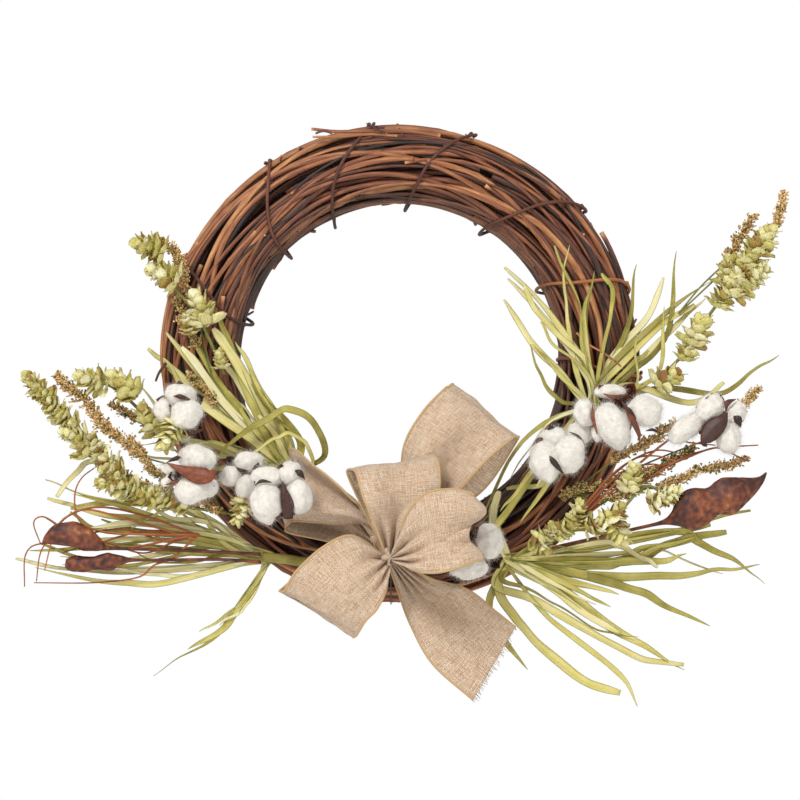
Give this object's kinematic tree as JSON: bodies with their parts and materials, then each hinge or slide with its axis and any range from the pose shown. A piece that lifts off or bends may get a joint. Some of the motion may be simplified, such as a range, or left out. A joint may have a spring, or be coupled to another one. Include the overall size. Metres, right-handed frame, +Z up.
{
  "type": "harvest door wreath",
  "caption": "Grapevine ring wreath to hang on a door, dressed along its lower half with a wired burlap bow, open cotton bolls, dried pods, hop-like cones, seed spikes and grasses.",
  "frame": {"origin": "where a door hook carries the wreath: the inner face of the vine ring at its very top, midway through the ring's depth", "axes": "+Z up, +X to the right seen from the front, -Y out of the door towards the viewer; the ring lies in the XZ plane and the door is at +Y"},
  "size_m": [0.571, 0.141, 0.4356],
  "materials": {
    "grapevine": "dried grapevine canes, bark on, dull with a slight sheen",
    "dark_vine": "thin dark cane",
    "pale_vine": "thin cane with its bark worn off",
    "burlap": "open-weave natural burlap ribbon with a wired, stitched selvage",
    "florist_wire": "brown cloth-covered wire",
    "cotton": "raw cotton fluff",
    "dry_husk": "dried cotton burr, papery and brittle",
    "dry_pod": "dried leathery seed pod",
    "hop_bract": "dried papery bracts, pale lime",
    "seed_grain": "dried ochre seed grains",
    "dry_grass": "dried flat grass blades, olive yellow",
    "curly_willow": "dried wiry twig"
  },
  "bodies": {
    "root": {"vine_hank_01": "grapevine", "vine_hank_02": "grapevine", "vine_hank_03": "grapevine", "vine_hank_04": "grapevine", "vine_hank_05": "grapevine", "vine_hank_06": "grapevine", "vine_hank_07": "grapevine", "vine_hank_08": "grapevine", "vine_hank_09": "grapevine", "vine_core_hank_1": "grapevine", "vine_core_hank_2": "grapevine", "vine_tie_left_low": "dark_vine", "vine_tie_left_high": "dark_vine", "vine_tie_top": "dark_vine", "vine_tie_top_right": "dark_vine", "vine_tie_right_high": "dark_vine", "vine_tie_right_mid": "pale_vine", "vine_tie_right_low": "pale_vine", "bow_loop_upper_right": "burlap", "bow_loop_top": "burlap", "bow_loop_right": "burlap", "bow_loop_lower_left": "burlap", "bow_loop_left": "burlap", "bow_tail": "burlap", "bow_gather": "burlap", "bow_wire": "florist_wire", "cotton_left_top": "cotton", "cotton_left_mid": "cotton", "cotton_left_inner_back": "cotton", "cotton_left_inner_front": "cotton", "cotton_right_inner": "cotton", "cotton_right_mid": "cotton", "cotton_right_outer": "cotton", "cotton_right_low": "cotton", "burr_left_top": "dry_husk", "burr_left_mid": "dry_husk", "burr_left_inner_back": "dry_husk", "burr_left_inner_front": "dry_husk", "burr_right_inner": "dry_husk", "burr_right_mid": "dry_husk", "burr_right_outer": "dry_husk", "burr_right_low": "dry_husk", "pod_left_upper": "dry_pod", "pod_left_lower": "dry_pod", "pod_right": "dry_pod", "hop_spray_left_upper": "hop_bract", "hop_spray_left_mid": "hop_bract", "hop_spray_left_lower": "hop_bract", "hop_spray_right_upper": "hop_bract", "hop_spray_right_lower": "hop_bract", "seed_spikes_left_upper": "seed_grain", "seed_spikes_left_lower": "seed_grain", "seed_spikes_right_upper": "seed_grain", "seed_spikes_right_mid": "seed_grain", "grass_left_upper": "dry_grass", "grass_left_lower": "dry_grass", "grass_right_upper": "dry_grass", "grass_right_lower": "dry_grass", "curly_twigs_left": "curly_willow", "curly_twigs_right": "curly_willow"}
  },
  "joints": []
}
